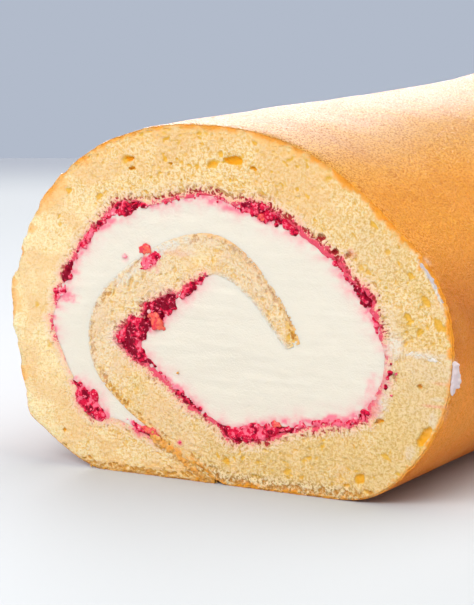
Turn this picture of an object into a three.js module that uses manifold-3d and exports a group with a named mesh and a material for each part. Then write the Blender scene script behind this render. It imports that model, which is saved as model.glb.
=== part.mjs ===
// A Swiss roll cake: one sheet of sponge, spread with berry jam and whipped cream and rolled up from
// one edge, so the cut ends show a spiral of sponge, jam and cream. It lies on its flattened base.
// X runs across the roll, Y along it, Z up, and the origin is the middle of the base.

import * as THREE from "three";
import { mergeVertices } from "three/addons/utils/BufferGeometryUtils.js";
import Module from "manifold-3d";

const wasm = await Module();
wasm.setup();

// Driving dimensions, in millimetres.
const LENGTH = 240;
const LAYER_GAP = 0.3;
const THINNEST_JAM = 0.4;
const FACE_Y = -LENGTH / 2;

// How finely the outlines and the length are divided.
const SAMPLE_STEP = 3.2;
const LENGTH_STEPS = 5;
const CURVE_DIVISIONS = 2000;
const MERGE_DISTANCE = 1e-4;

// The strip of sponge as it lies in the cut, followed from the outer tip, clockwise and inwards.
// Each station is [x, z, thickness of the sponge, thickness of the jam on it]: the point is on the
// strip's browned skin, and both layers are measured inwards from there.
const OUTER_TIP = [
  [-2.6, 0, 0.5, 0.4],
  [-10, 0, 4.3, 0.4],
  [-18, 0, 7.7, 0.5],
  [-26, 0, 10.1, 1.3],
];
const LEFT_FLANK = [
  [-34, 0.3, 10.6, 2.4],
  [-43, 4.4, 11.2, 4],
  [-51, 10.6, 12.8, 3],
  [-54, 21, 11.8, 1.2],
  [-56, 33, 10.2, 1],
  [-55.3, 43, 11.4, 3],
  [-51.4, 53.3, 12.6, 1.6],
];
const CROWN = [
  [-43.5, 65.2, 13.4, 2.2],
  [-33, 73.7, 14, 2.8],
  [-19.5, 78.7, 16, 1.4],
  [-5, 80, 15, 1.6],
  [9.5, 78.6, 15.6, 2.6],
  [21, 74.6, 15.4, 2.2],
  [32, 68.2, 15.2, 1.2],
];
const RIGHT_FLANK = [
  [42.5, 59.2, 15.4, 1.6],
  [50.2, 51.4, 15.6, 2.4],
  [54.7, 42, 16.8, 1.2],
  [55.8, 31.5, 15.4, 1],
  [53.2, 19.6, 15, 1.4],
  [46.4, 9, 15, 2],
  [37, 1.8, 15.2, 2.2],
];
const BASE = [
  [27, 0, 15.4, 2.2],
  [13, 0, 12, 3.4],
  [1, 0, 10.4, 2.8],
];
const INNER_COIL = [
  [-7.5, 3.6, 10.8, 1.4],
  [-16.5, 8.9, 10.8, 1.8],
  [-25.5, 14.5, 11.4, 2],
  [-33, 21.7, 10.6, 3],
  [-35.6, 30.5, 8.2, 5.6],
  [-33, 39.6, 9.8, 5],
  [-25.5, 47, 10.2, 4.2],
  [-14.5, 53.8, 10.8, 2.4],
  [-3.6, 56.2, 9.6, 0.6],
];
const INNER_TIP = [
  [5, 52.8, 8.2, 0.4],
  [12.2, 45.4, 6.6, 0.4],
  [17, 38.6, 6, 0.4],
  [19, 33.6, 4.2, 0.4],
];
const STRIP = [
  ...OUTER_TIP,
  ...LEFT_FLANK,
  ...CROWN,
  ...RIGHT_FLANK,
  ...BASE,
  ...INNER_COIL,
  ...INNER_TIP,
];

// Where the layers start and stop, as distances along the skin from the outer tip. The cream starts
// where the coil is clear of the wedge under it, and the jam stops short of the strip's inner end.
const JAM_START = 14.5;
const CREAM_START = 23;
const OUTER_TURN = 290;
const COIL_LEAVES_THE_WEDGE = 331;
const BARE_INNER_END = 34;

// The layers' thickness is laid off square to the chord over this distance each way along the skin.
const NORMAL_REACH = 8;

// A tear through the right flank at the cut end is full of cream, and some was squeezed out onto
// the skin as a flat lump, given by its middle at the cut and its half sizes.
const TEAR_DEPTH = 18;
const TEAR_OUTLINE = [
  [35, 36.2],
  [40, 35.4],
  [47, 35.2],
  [55.4, 34.2],
  [56.2, 33],
  [55.4, 32.2],
  [47, 33.8],
  [40, 33.8],
  [35, 32.4],
];
const SQUEEZED_MIDDLE = [55.9, 30.6];
const SQUEEZED_HALF_SIZES = [1.4, 6, 4.2];
const SQUEEZED_SIDES = [16, 10];

// Large gas holes that the knife opened at both ends: [x, z, width, height, tilt in degrees].
const HOLE_DEPTH = 1.6;
const HOLE_SIDES = [12, 8];
const HOLES = [
  [2.3, 72.4, 4.8, 2, -3],
  [33.5, 5.2, 2.8, 2.4, 0],
  [48.2, 15.6, 5.2, 2.2, 66],
  [-24, 71.4, 2.2, 1, 0],
  [24, 57.2, 1.8, 1.4, 0],
];

// The loaf is a little lower, wider and off line in the middle of its length.
const MIDDLE_SAG = 0.012;
const MIDDLE_SPREAD = 0.006;
const MIDDLE_BOW = 0.7;

const skinCurve = new THREE.SplineCurve(STRIP.map(([x, z]) => new THREE.Vector2(x, z)));
const layerCurve = new THREE.SplineCurve(
  STRIP.map(([, , sponge, jam]) => new THREE.Vector2(sponge, jam)),
);
skinCurve.arcLengthDivisions = CURVE_DIVISIONS;
const STRIP_LENGTH = skinCurve.getLength();
const JAM_END = STRIP_LENGTH - BARE_INNER_END;

// The strip at one distance along its skin: the skin point, the way inwards and both thicknesses.
function stripAt(along) {
  const fraction = THREE.MathUtils.clamp(along / STRIP_LENGTH, 0, 1);
  const reach = NORMAL_REACH / STRIP_LENGTH;
  const before = skinCurve.getPointAt(Math.max(fraction - reach, 0));
  const after = skinCurve.getPointAt(Math.min(fraction + reach, 1));
  const heading = after.sub(before).normalize();
  const skin = skinCurve.getPointAt(fraction);
  skin.y = Math.max(skin.y, 0);
  const layers = layerCurve.getPoint(skinCurve.getUtoTmapping(fraction));
  const inwards = new THREE.Vector2(heading.y, -heading.x);
  return { skin, inwards, heading, sponge: layers.x, jam: Math.max(layers.y, THINNEST_JAM) };
}

// The line that a face of a layer makes in the cut, at the depth under the skin that depthAt gives.
function faceLine(from, to, depthAt) {
  const count = Math.max(Math.round(Math.abs(to - from) / SAMPLE_STEP), 1);
  return Array.from({ length: count + 1 }, (_, i) => {
    const station = stripAt(from + ((to - from) * i) / count);
    return station.skin.clone().addScaledVector(station.inwards, depthAt(station));
  });
}

const onSkin = () => 0;
const aboveSkin = () => -LAYER_GAP;
const underSponge = ({ sponge }) => sponge;
const topOfJam = ({ sponge }) => sponge + LAYER_GAP;
const underJam = ({ sponge, jam }) => sponge + LAYER_GAP + jam;
const creamOnJam = ({ sponge, jam }) => sponge + 2 * LAYER_GAP + jam;
const creamOnSponge = ({ sponge }) => sponge + LAYER_GAP;

function spongeOutline() {
  return [...faceLine(0, STRIP_LENGTH, onSkin), ...faceLine(STRIP_LENGTH, 0, underSponge)];
}

function jamOutline() {
  return [...faceLine(JAM_START, JAM_END, topOfJam), ...faceLine(JAM_END, JAM_START, underJam)];
}

// The cream fills the spiral between the outer turn and the coil and the wide space inside the coil,
// so its outline runs in along the jam, round the strip's inner tip and back out along the coil.
function creamOutline() {
  const { skin, inwards, heading, sponge } = stripAt(STRIP_LENGTH);
  const pastTip = skin.clone().addScaledVector(heading, LAYER_GAP);
  return [
    ...faceLine(CREAM_START, JAM_END, creamOnJam),
    ...faceLine(JAM_END + SAMPLE_STEP, STRIP_LENGTH, creamOnSponge),
    pastTip.clone().addScaledVector(inwards, sponge + LAYER_GAP),
    pastTip.clone().addScaledVector(inwards, -LAYER_GAP),
    ...faceLine(STRIP_LENGTH, COIL_LEAVES_THE_WEDGE, aboveSkin),
  ];
}

// An outline in X and Z, run along the roll from the cut face.
function runAlong(outline, depth, steps) {
  const shape = new THREE.Shape(outline);
  const geometry = new THREE.ExtrudeGeometry(shape, { depth, steps, bevelEnabled: false });
  geometry.rotateX(Math.PI / 2);
  geometry.translate(0, FACE_Y + depth, 0);
  return geometry;
}

// The loaf's unevenness along its length, nothing at the two cut ends.
function settle(geometry) {
  const position = geometry.getAttribute("position");
  for (let i = 0; i < position.count; i += 1) {
    const swell = Math.sin((Math.PI * (position.getY(i) - FACE_Y)) / LENGTH) ** 2;
    position.setX(i, position.getX(i) * (1 + MIDDLE_SPREAD * swell) + MIDDLE_BOW * swell);
    position.setZ(i, position.getZ(i) * (1 - MIDDLE_SAG * swell));
  }
  return geometry;
}

// A closed geometry as a solid that can be joined and cut, and back again.
function solidFrom(geometry) {
  const bare = geometry.index ? geometry.toNonIndexed() : geometry.clone();
  bare.deleteAttribute("normal");
  bare.deleteAttribute("uv");
  const merged = mergeVertices(bare, MERGE_DISTANCE);
  const mesh = new wasm.Mesh({
    numProp: 3,
    vertProperties: new Float32Array(merged.attributes.position.array),
    triVerts: new Uint32Array(merged.index.array),
  });
  return new wasm.Manifold(mesh);
}

function geometryFrom(solid) {
  const { vertProperties, triVerts } = solid.getMesh();
  const geometry = new THREE.BufferGeometry();
  geometry.setAttribute("position", new THREE.BufferAttribute(vertProperties, 3));
  geometry.setIndex(new THREE.BufferAttribute(triVerts, 1));
  return geometry;
}

// The tear's outline moved outwards all round, for the room that it needs in the other layers. A
// corner moves along its mitre, held short where the corner is sharp.
const SHARPEST_MITRE = 0.5;

function grown(outline, margin) {
  const area = THREE.ShapeUtils.area(outline);
  return outline.map((point, i) => {
    const before = outline[(i + outline.length - 1) % outline.length];
    const after = outline[(i + 1) % outline.length];
    const edgeIn = point.clone().sub(before).normalize();
    const edgeOut = after.clone().sub(point).normalize();
    const mitre = new THREE.Vector2(edgeIn.y + edgeOut.y, -edgeIn.x - edgeOut.x).normalize();
    const square = mitre.dot(new THREE.Vector2(edgeIn.y, -edgeIn.x));
    const spread = margin / Math.max(square, SHARPEST_MITRE);
    return point.clone().addScaledVector(mitre, Math.sign(area) * spread);
  });
}

// Half of an ellipsoid lies in the sponge, as a shallow pit in the cut.
function holeSolid([x, z, width, height, tilt], y) {
  const geometry = new THREE.SphereGeometry(1, ...HOLE_SIDES);
  geometry.scale(width / 2, HOLE_DEPTH, height / 2);
  geometry.rotateY(-THREE.MathUtils.degToRad(tilt));
  geometry.translate(x, y, z);
  return solidFrom(geometry);
}

// The lump of cream on the flank, cut off at the end of the roll and clear of the skin.
function squeezedCream() {
  const [x, z] = SQUEEZED_MIDDLE;
  const lump = new THREE.SphereGeometry(1, ...SQUEEZED_SIDES);
  lump.scale(...SQUEEZED_HALF_SIZES);
  lump.translate(x, FACE_Y, z);
  const loaf = faceLine(0, OUTER_TURN, aboveSkin);
  const loafRoom = solidFrom(runAlong(loaf, LENGTH, 1));
  const beyondTheCut = new THREE.BoxGeometry(LENGTH, LENGTH, LENGTH);
  beyondTheCut.translate(0, FACE_Y - LENGTH / 2, 0);
  return solidFrom(lump).subtract(loafRoom).subtract(solidFrom(beyondTheCut));
}

function layerSolid(outline) {
  return solidFrom(settle(runAlong(outline, LENGTH, LENGTH_STEPS)));
}

const tearLine = TEAR_OUTLINE.map(([x, z]) => new THREE.Vector2(x, z));
const tearRoomLine = grown(tearLine, LAYER_GAP);
const tear = solidFrom(runAlong(tearLine, TEAR_DEPTH, 1));
const tearRoom = solidFrom(runAlong(tearRoomLine, TEAR_DEPTH + LAYER_GAP, 1));

let sponge = layerSolid(spongeOutline()).subtract(tearRoom);
for (const hole of HOLES) {
  for (const y of [FACE_Y, -FACE_Y]) {
    sponge = sponge.subtract(holeSolid(hole, y));
  }
}
const jam = layerSolid(jamOutline()).subtract(tearRoom);
const cream = layerSolid(creamOutline()).add(tear).add(squeezedCream());

const LAYERS = [
  ["sponge", sponge, { color: 0xeec98a, roughness: 0.85, metalness: 0 }],
  ["jam", jam, { color: 0x9c1030, roughness: 0.25, metalness: 0 }],
  ["cream", cream, { color: 0xf3efe3, roughness: 0.6, metalness: 0 }],
];

const group = new THREE.Group();
for (const [name, solid, finish] of LAYERS) {
  const mesh = new THREE.Mesh(geometryFrom(solid), new THREE.MeshStandardMaterial(finish));
  mesh.name = name;
  group.add(mesh);
}

// The middle of the base is the origin.
const box = new THREE.Box3().setFromObject(group);
const middle = box.getCenter(new THREE.Vector3());
for (const mesh of group.children) {
  mesh.geometry.translate(-middle.x, 0, -box.min.z);
}

export default group;
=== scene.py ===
import math

import bpy
import numpy as np
from mathutils.kdtree import KDTree
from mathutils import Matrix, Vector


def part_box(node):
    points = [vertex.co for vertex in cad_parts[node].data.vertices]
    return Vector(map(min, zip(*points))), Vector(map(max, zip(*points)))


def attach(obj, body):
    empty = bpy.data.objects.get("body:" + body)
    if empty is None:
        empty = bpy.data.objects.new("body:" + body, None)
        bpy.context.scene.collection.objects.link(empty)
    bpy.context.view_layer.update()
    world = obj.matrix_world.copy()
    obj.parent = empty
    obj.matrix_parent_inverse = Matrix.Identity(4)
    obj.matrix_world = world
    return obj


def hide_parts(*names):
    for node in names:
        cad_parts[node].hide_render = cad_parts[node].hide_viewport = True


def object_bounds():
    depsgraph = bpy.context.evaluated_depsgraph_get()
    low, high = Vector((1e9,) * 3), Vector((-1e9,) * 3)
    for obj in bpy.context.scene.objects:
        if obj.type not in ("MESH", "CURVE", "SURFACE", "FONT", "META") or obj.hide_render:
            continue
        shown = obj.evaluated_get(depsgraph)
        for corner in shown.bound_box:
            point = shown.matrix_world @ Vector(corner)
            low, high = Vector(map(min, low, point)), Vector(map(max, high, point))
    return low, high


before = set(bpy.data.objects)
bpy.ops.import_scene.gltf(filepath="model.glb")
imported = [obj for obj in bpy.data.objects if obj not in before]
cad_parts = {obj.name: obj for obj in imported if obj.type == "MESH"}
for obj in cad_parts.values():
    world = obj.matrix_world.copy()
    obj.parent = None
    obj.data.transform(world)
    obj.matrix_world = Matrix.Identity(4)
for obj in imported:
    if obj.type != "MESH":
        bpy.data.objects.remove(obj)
cad_low, cad_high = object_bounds()


# --- Camera ------------------------------------------------
# A long lens stands in front of the cut end and to its right, a little above the roll, so that the
# end shows nearly square on and the crust runs away behind it.
CAMERA_PLACE = (0.2737, -0.6057, 0.1344)
CAMERA_TILT = math.radians(80.5)
CAMERA_TURN = math.radians(29.2)

bpy.ops.object.select_all(action="DESELECT")
bpy.ops.object.camera_add(location=CAMERA_PLACE, rotation=(CAMERA_TILT, 0, CAMERA_TURN))
camera = bpy.context.object
camera.data.lens = 153.7
camera.data.sensor_width = 36
camera.data.clip_start = 0.01
bpy.context.scene.camera = camera
bpy.context.scene.view_settings.view_transform = "Standard"


# --- Table -------------------------------------------------
# A plain pale table top, square to the camera. It turns bluer with distance, and over its last few
# centimetres it fades into the plain blue-grey wall behind it.
TABLE_SIZE = 8
TABLE_BEHIND_ROLL = 0.555
TABLE_COLOUR = (0.54, 0.59, 0.65)
FAR_TABLE_COLOUR = (0.40, 0.44, 0.48)
TABLE_EDGE_COLOUR = (0.19, 0.22, 0.275)
FAR_FROM, FAR_TO = 0.6, 0.1
EDGE_FROM = 0.16


def feed(socket, value):
    """Links a node's output to the socket, or sets a plain value on it."""
    if isinstance(value, bpy.types.NodeSocket):
        socket.id_data.links.new(value, socket)
    else:
        socket.default_value = value


def object_place(tree):
    """The outputs X, Y and Z: a point's place on the object."""
    place = tree.nodes.new("ShaderNodeTexCoord")
    split = tree.nodes.new("ShaderNodeSeparateXYZ")
    feed(split.inputs[0], place.outputs["Object"])
    return split.outputs


def ranged(value, low, high, start=0.0, end=1.0):
    """Goes smoothly from start to end as the value goes from low to high."""
    node = value.id_data.nodes.new("ShaderNodeMapRange")
    node.interpolation_type = "SMOOTHSTEP"
    feed(node.inputs["Value"], value)
    for name, number in zip(("From Min", "From Max", "To Min", "To Max"), (low, high, start, end)):
        node.inputs[name].default_value = number
    return node.outputs[0]


def layered(colour, *layers):
    """The colour with each layer, a share and a colour, laid over it in turn."""
    for share, cover in layers:
        node = share.id_data.nodes.new("ShaderNodeMix")
        node.data_type = "RGBA"
        feed(node.inputs[0], share)
        for socket, value in zip(node.inputs[6:8], (colour, cover)):
            feed(socket, (*value, 1) if isinstance(value, tuple) else value)
        colour = node.outputs[2]
    return colour


def new_finish(name):
    finish = bpy.data.materials.new(name)
    finish.use_nodes = True
    return finish, finish.node_tree


def shade(tree, values):
    """Sets or links the shader's sockets."""
    for name, value in values.items():
        feed(tree.nodes["Principled BSDF"].inputs[name], value)


table_middle = TABLE_BEHIND_ROLL - TABLE_SIZE / 2
bpy.ops.object.select_all(action="DESELECT")
bpy.ops.mesh.primitive_plane_add(
    size=TABLE_SIZE,
    location=(-math.sin(CAMERA_TURN) * table_middle, math.cos(CAMERA_TURN) * table_middle, 0),
    rotation=(0, 0, CAMERA_TURN),
)
table = bpy.context.object
table.name = "table"

table_finish, tree = new_finish("pale_table")
far = object_place(tree)["Y"]
far_edge = TABLE_SIZE / 2
table_colour = layered(
    TABLE_COLOUR,
    (ranged(far, far_edge - FAR_FROM, far_edge - FAR_TO), FAR_TABLE_COLOUR),
    (ranged(far, far_edge - EDGE_FROM, far_edge), TABLE_EDGE_COLOUR),
)
shade(tree, {"Base Color": table_colour, "Roughness": 0.7, "Specular IOR Level": 0.1})
table.data.materials.append(table_finish)


# --- Light -------------------------------------------------
# A large window stands behind the roll to the left and a skylight over it, with a broad pale
# reflector in front of the cut and a low one that fills the right flank. The wall shows blue-grey,
# and its light fills the shadows a little warmer.
WALL_COLOUR = (0.445, 0.497, 0.597, 1)
SHADOW_COLOUR = (0.37, 0.33, 0.3, 1)


def soft_light(name, place, aim_height, size, power, colour):
    """A rectangular light that faces a point over the middle of the table."""
    bpy.ops.object.light_add(type="AREA", location=place)
    light = bpy.context.object
    light.name = name
    light.data.shape = "RECTANGLE"
    light.data.size, light.data.size_y = size
    light.data.energy = power
    light.data.color = colour
    away = light.location - type(light.location)((0, 0, aim_height))
    light.rotation_euler = away.to_track_quat("Z", "Y").to_euler()


wall = bpy.data.worlds.new("wall")
bpy.context.scene.world = wall
wall.use_nodes = True
tree = wall.node_tree
seen = tree.nodes["Background"]
seen.inputs["Color"].default_value = WALL_COLOUR
filling = tree.nodes.new("ShaderNodeBackground")
filling.inputs["Color"].default_value = SHADOW_COLOUR
path = tree.nodes.new("ShaderNodeLightPath")
either = tree.nodes.new("ShaderNodeMixShader")
feed(either.inputs[0], path.outputs["Is Camera Ray"])
feed(either.inputs[1], filling.outputs[0])
feed(either.inputs[2], seen.outputs[0])
feed(tree.nodes["World Output"].inputs["Surface"], either.outputs[0])
soft_light("window", (-1.25, 1.7, 0.45), 0.04, (1.4, 0.7), 25, (0.87, 0.9, 1))
soft_light("skylight", (0.3, 0.55, 1.35), 0.04, (1.8, 1.8), 27, (1, 0.96, 0.9))
soft_light("side_fill", (1.5, 0.4, 0.12), 0.03, (1, 0.2), 5, (1, 0.95, 0.84))
soft_light("reflector", (-0.25, -1.35, 1.1), 0.04, (1.4, 1.0), 25, (1, 0.96, 0.9))


# --- Sponge ------------------------------------------------
# One sheet of fatless sponge, about 15 mm thick, baked flat with a thin golden-brown skin and
# rolled up from its far edge with the skin outside. Both ends are sliced off square, so the cuts
# show open crumb with a brown line of skin round it, torn through at the right of the front end.
MM = 0.001
LENGTH = round((cad_high.y - cad_low.y) / MM)
FACE_Y = -LENGTH / 2

# The strip of sponge as it lies in the cut, from the outer tip clockwise and inwards, in mm. Each
# station is a point on the skin [x, z], then the sponge's and the jam's thickness inwards of it.
STRIP = np.array([
    # Outer tip
    (-2.6, 0, 0.5, 0.4), (-10, 0, 4.3, 0.4), (-18, 0, 7.7, 0.5), (-26, 0, 10.1, 1.3),
    # Left flank
    (-34, 0.3, 10.6, 2.4), (-43, 4.4, 11.2, 4), (-51, 10.6, 12.8, 3), (-54, 21, 11.8, 1.2),
    (-56, 33, 10.2, 1), (-55.3, 43, 11.4, 3), (-51.4, 53.3, 12.6, 1.6),
    # Crown
    (-43.5, 65.2, 13.4, 2.2), (-33, 73.7, 14, 2.8), (-19.5, 78.7, 16, 1.4), (-5, 80, 15, 1.6),
    (9.5, 78.6, 15.6, 2.6), (21, 74.6, 15.4, 2.2), (32, 68.2, 15.2, 1.2),
    # Right flank
    (42.5, 59.2, 15.4, 1.6), (50.2, 51.4, 15.6, 2.4), (54.7, 42, 16.8, 1.2), (55.8, 31.5, 15.4, 1),
    (53.2, 19.6, 15, 1.4), (46.4, 9, 15, 2), (37, 1.8, 15.2, 2.2),
    # Base
    (27, 0, 15.4, 2.2), (13, 0, 12, 3.4), (1, 0, 10.4, 2.8),
    # Inner coil
    (-7.5, 3.6, 10.8, 1.4), (-16.5, 8.9, 10.8, 1.8), (-25.5, 14.5, 11.4, 2), (-33, 21.7, 10.6, 3),
    (-35.6, 30.5, 8.2, 5.6), (-33, 39.6, 9.8, 5), (-25.5, 47, 10.2, 4.2), (-14.5, 53.8, 10.8, 2.4),
    (-3.6, 56.2, 9.6, 0.6),
    # Inner tip
    (5, 52.8, 8.2, 0.4), (12.2, 45.4, 6.6, 0.4), (17, 38.6, 6, 0.4), (19, 33.6, 4.2, 0.4),
], dtype=float)
THINNEST_JAM = 0.4
NORMAL_REACH = 8
SKIN_TURNS_IN = 314
JAM_START = 14.5
BARE_INNER_END = 34

# Where the left flank and the last turn's base begin and end, each as the two ends of a soft change.
FLANK_START, FLANK_END = (50, 64), (108, 122)
BASE_START = (274, 285)


def through(points, share):
    """A smooth curve through the points, at shares of the way along them."""
    last = len(points) - 1
    place = np.clip(share, 0, 1) * last
    index = np.floor(place).astype(int)
    part = (place - index)[:, None]
    before, start, end, beyond = (points[np.clip(index + ahead, 0, last)] for ahead in (-1, 0, 1, 2))
    leaving = (end - before) / 2
    arriving = (beyond - start) / 2
    cubic = 2 * (start - end) + leaving + arriving
    square = 3 * (end - start) - 2 * leaving - arriving
    return ((cubic * part + square) * part + leaving) * part + start


shares = np.linspace(0, 1, 2001)
skin_line = through(STRIP[:, :2], shares)
skin_lengths = np.append(0, np.cumsum(np.hypot(*np.diff(skin_line, axis=0).T)))
STRIP_LENGTH = skin_lengths[-1]
JAM_END = STRIP_LENGTH - BARE_INNER_END


def strip_at(along):
    """The strip at distances along its skin: skin point, the way inwards, and both thicknesses."""
    share, behind, ahead = (
        np.interp(along + reach, skin_lengths, shares) for reach in (0, -NORMAL_REACH, NORMAL_REACH)
    )
    heading = through(STRIP[:, :2], ahead) - through(STRIP[:, :2], behind)
    heading /= np.linalg.norm(heading, axis=1)[:, None]
    inwards = np.stack([heading[:, 1], -heading[:, 0]], axis=1)
    station = through(STRIP, share)
    skin = station[:, :2]
    skin[:, 1] = np.maximum(skin[:, 1], 0)
    return skin, inwards, station[:, 2], np.maximum(station[:, 3], THINNEST_JAM)


MIDDLE_SAG = 0.012
MIDDLE_SPREAD = 0.006
MIDDLE_BOW = 0.7


def settled(x, y, z):
    """The loaf is a little lower, wider and off line in the middle of its length."""
    swell = np.sin(np.pi * (np.clip(y, FACE_Y, -FACE_Y) - FACE_Y) / LENGTH) ** 2
    moved_x = x * (1 + MIDDLE_SPREAD * swell) + MIDDLE_BOW * swell + recentre
    return moved_x, z * (1 - MIDDLE_SAG * swell)


# The cut as drawn moves sideways until its left side meets the solid's.
recentre = 0
widest = settled(skin_line[:, 0], np.zeros(len(skin_line)), skin_line[:, 1])[0]
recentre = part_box("sponge")[0].x / MM - widest.min()


def step(value, low, high):
    """0 below low, 1 above high and smooth between."""
    part = np.clip((value - low) / (high - low), 0, 1)
    return part * part * (3 - 2 * part)


def drop(value, low, high):
    """1 below low, 0 above high and smooth between."""
    return 1 - step(value, low, high)


def patches(u, v, size, seed):
    """Smooth unevenness from -1 to 1, in patches of about the size, over two coordinates."""
    lattice = np.random.default_rng(seed).uniform(-1, 1, (256, 256))
    column = np.floor(u / size).astype(int)
    row = np.floor(v / size).astype(int)
    right = step(u / size - column, 0, 1)
    up = step(v / size - row, 0, 1)

    def across(line):
        here, beside = (lattice[(column + one) % 256, line % 256] for one in (0, 1))
        return here * (1 - right) + beside * right

    return across(row) * (1 - up) + across(row + 1) * up


def rough(u, v, *layers):
    """The sum of patches of several strengths, sizes and seeds."""
    return sum(strength * patches(u, v, size, seed) for strength, size, seed in layers)


# How open the crumb is and how brown its skin shows in the cut, by the distance along the strip.
OPENNESS = {
    0: 0.5, 31: 0.5, 45: 0.3, 75: 0.25, 95: 0.3, 118: 0.6, 140: 1, 172: 0.95, 192: 0.75, 204: 0.6,
    212: 0.8, 234: 0.85, 238: 0.7, 243: 0.25, 258: 0.3, 275: 0.65, 300: 0.8, 318: 0.7, 335: 0.35,
    350: 0.55, 366: 0.75, 380: 0.6, 392: 0.4, 405: 0.45, 415: 0.9, 439: 1.1,
}
RIM_REACH = {
    0: 0.4, 31: 0.5, 42: 0.1, 60: -0.6, 100: -0.6, 112: 0.6, 140: 0.7, 175: 0.8, 200: 1.1, 235: 1.3,
    243: 0.8, 270: 0.6, 285: 0.4, 300: 0.5, 318: 0.7, 330: 0.5, 345: 0.1, 352: -0.1, 380: 0, 400: 0.1,
    410: 0.5, 424: 0.6, 439: 0.2,
}

# How pale and creamy (above 0) or how tanned (below 0) the crumb is.
PALENESS = {
    0: 0, 24: 0.3, 45: 0.5, 66: 0.9, 95: 0.95, 118: 0.35, 150: 0.15, 190: -0.15, 204: -0.4, 236: -0.55,
    242: -0.95, 258: -1, 266: -0.8, 285: -0.65, 312: -0.6, 322: -0.4, 345: -0.05, 352: 0.4, 375: 0.35,
    400: 0.3, 412: 0.1, 432: 0, 439: -0.1,
}

# How far past its surface the jam has soaked into the crumb, in mm, and how lacy it has left it.
SOAKED_BY = {
    0: 0, 110: 0.1, 118: 0.5, 130: 0.1, 150: 0.2, 165: 0.6, 174: 1.1, 186: 1.1, 190: 0.4, 197: 1.2,
    215: 1.2, 220: 0.3, 237: 0.8, 251: 0.8, 256: 0.4, 262: 0.7, 270: 0, 285: 0.2, 300: 0.4, 320: 0.2,
    330: 0.5, 345: 0.8, 372: 0.8, 380: 0.3, 405: 0.2,
}
LACE = {
    14: 0.3, 60: 0.2, 105: 0.5, 118: 1, 190: 1, 216: 0.8, 236: 0.6, 252: 0.5, 270: 0.4, 290: 0.6,
    318: 0.5, 335: 0.4, 350: 0.5, 372: 0.7, 405: 0.5,
}

# How ragged the skin is just under the surface, where it has cracked into brown crumbs.
CRACKED = {
    0: 1, 30: 0.9, 36: 0.3, 45: 0, 272: 0, 282: 0.8, 318: 1, 323: 0.3, 341: 0.2, 344: 0.9, 352: 0.8,
    355: 0.5, 358: 0.9, 374: 1, 376: 0.3, 384: 0.5, 388: 0.1, 398: 0.2, 402: 0.8, 412: 1, 434: 1,
    439: 0.6,
}

# How far the edge of the skin stands out or in beside the front cut, in mm.
EDGE_RISE = {
    20: 0, 30: -0.3, 36: -0.6, 48: -0.6, 52: 0.1, 57: -0.4, 66: -0.6, 75: -0.5, 79: -0.1, 84: 0.25,
    87: -0.5, 93: -0.5, 97: 0, 103: 0.1, 112: 0,
}


def by_distance(table, along):
    return np.interp(along, list(table), list(table.values()))


# Where the knife smoothed the crumb and dragged cream over it: [x, z, half width, half height, how
# smooth, how white].
SMEARS = [
    (47, 25, 6.5, 9, 0.65, 0.15), (50.6, 20, 1.1, 2.2, 0.5, 0.5), (45.4, 12.2, 1.3, 1.8, 0.4, 0.4),
    (41, 34.4, 3.4, 2.2, 0.9, 0.7), (48.5, 33.6, 6, 1, 0.8, 0.75), (53.6, 30, 1.8, 5, 0.7, 0.35),
    (-13, 53, 10, 3.2, 0.6, 0.5), (-26, 47.5, 5, 2.6, 0.5, 0.4), (-32.6, 37, 1.8, 5, 0.4, 0.5),
    (-34.2, 26, 1.4, 5, 0.3, 0.35), (-4, 54.4, 7, 2.2, 0.7, 0.45), (9, 47.6, 3, 4, 0.4, 0.25),
    (15, 37, 1.6, 4, 0.4, 0.3), (49, 54, 2, 1.6, 0.3, 0.5), (51.5, 24.5, 2.6, 0.8, 0.6, 0.5),
    (39.5, 27, 1.6, 7, 0.5, 0.5), (41, 41, 2.6, 4, 0.2, 0.3), (31, 54.5, 1.4, 1.2, 0.3, 0.4),
]


def smeared(x, z):
    """How smooth and how white the cut is."""
    smooth, white = np.zeros((2, len(x)))
    for middle_x, middle_z, half_width, half_height, smoothness, whiteness in SMEARS:
        away = np.hypot((x - middle_x) / half_width, (z - middle_z) / half_height)
        away += 0.3 * patches(x, z, 1.6, 51)
        smooth = np.maximum(smooth, smoothness * drop(away, 0.4, 1.2))
        white = np.maximum(white, whiteness * drop(away, 0.3, 1.15))
    return smooth, white


# How much of its space the jam fills where it shows in the cut: it lies in clots.
JAM_CLOTS = {
    14: 0.6, 19: 0.5, 22: 0.2, 24: 0.05, 28: 0.05, 30: 0.3, 33: 0.85, 37: 1.15, 43: 1.1, 46: 0.6,
    49: 0.42, 56: 0.35, 59: 0.05, 67: 0.05, 70: 0.4, 75: 0.35, 77: 0.08, 81: 0.5, 84: 0.75, 88: 0.5,
    90: 1.15, 94: 1, 96: 0.45, 101: 0.65, 104: 0.9, 110: 0.85, 114: 0.6, 119: 0.75, 122: 1.15, 128: 1.05,
    131: 0.5, 140: 0.4, 149: 0.5, 153: 0.85, 157: 0.6, 163: 0.45, 167: 0.95, 173: 1.05, 177: 0.8,
    184: 0.85, 187: 0.35, 195: 0.3, 199: 0.95, 202: 0.6, 205: 0.5, 209: 1.1, 213: 0.9, 215: 0.3, 221: 0.4,
    226: 0.7, 230: 0.3, 236: 0.15, 251: 0.15, 257: 0.2, 262: 0.6, 265: 0.95, 269: 0.6, 280: 0.5, 290: 0.6,
    299: 0.75, 304: 1.05, 310: 1.15, 316: 1, 320: 0.4, 324: 0.4, 328: 0.95, 332: 0.95, 336: 0.4, 344: 0.5,
    347: 0.9, 352: 1, 362: 1.05, 372: 1, 377: 0.7, 382: 1.15, 388: 1.05, 391: 0.5, 395: 0.8, 401: 1.05,
    407: 0.9,
}


def jam_share(along):
    return np.clip(by_distance(JAM_CLOTS, along) + 0.12 * patches(along, along * 0, 1.4, 53), 0.04, 1.2)


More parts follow.
